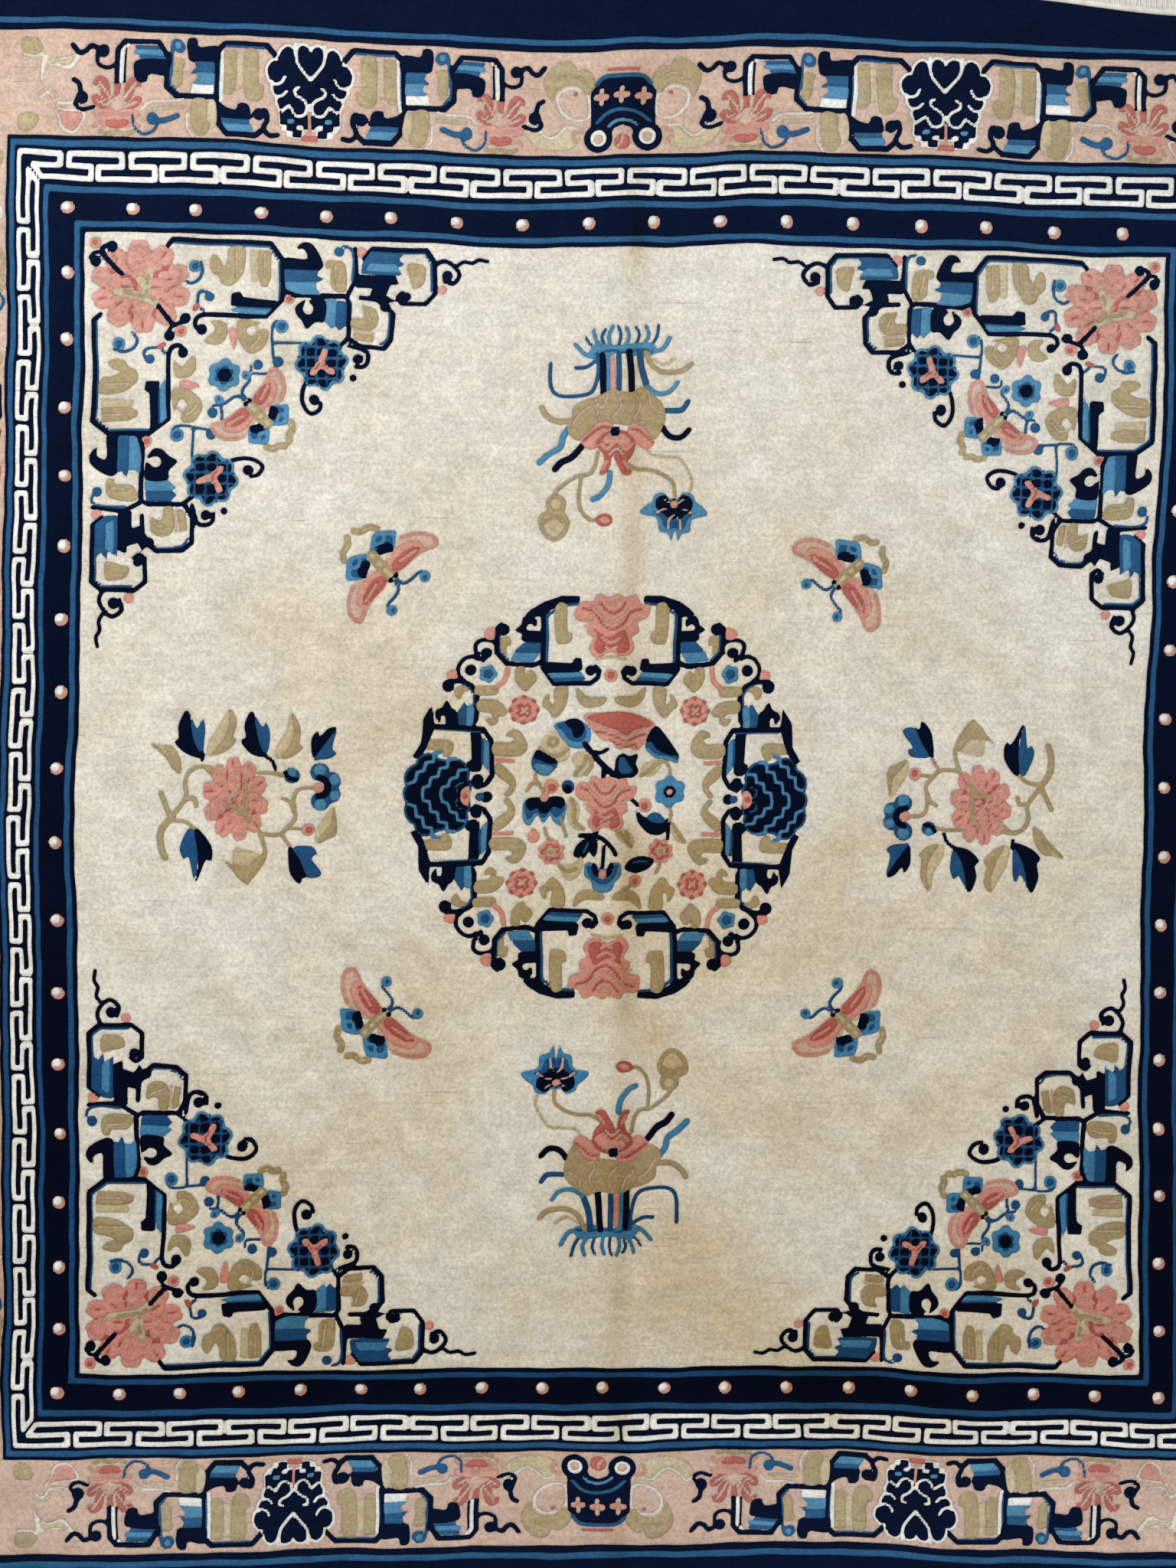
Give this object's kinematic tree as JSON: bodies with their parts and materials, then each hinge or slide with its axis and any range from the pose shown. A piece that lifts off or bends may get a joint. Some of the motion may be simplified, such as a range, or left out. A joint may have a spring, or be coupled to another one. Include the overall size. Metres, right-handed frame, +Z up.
{
  "type": "chinese art deco rug",
  "caption": "Rectangular hand-knotted wool pile rug lying flat, with a patterned field, bands along the rim and a cotton web and fringe at each end.",
  "frame": {"origin": "on the floor under the middle of the rug's outer box, fringes included", "axes": "+X to the picture's right, +Y to the picture's top and along the warps, +Z up out of the pile"},
  "size_m": [2.4958, 2.7565, 0.0174],
  "materials": {
    "wool_pile": "cut wool pile",
    "cotton_warp": "plied cotton, matt"
  },
  "bodies": {
    "root": {"rug_pile": "wool_pile", "fringe_top": "cotton_warp", "fringe_bottom": "cotton_warp"}
  },
  "joints": []
}
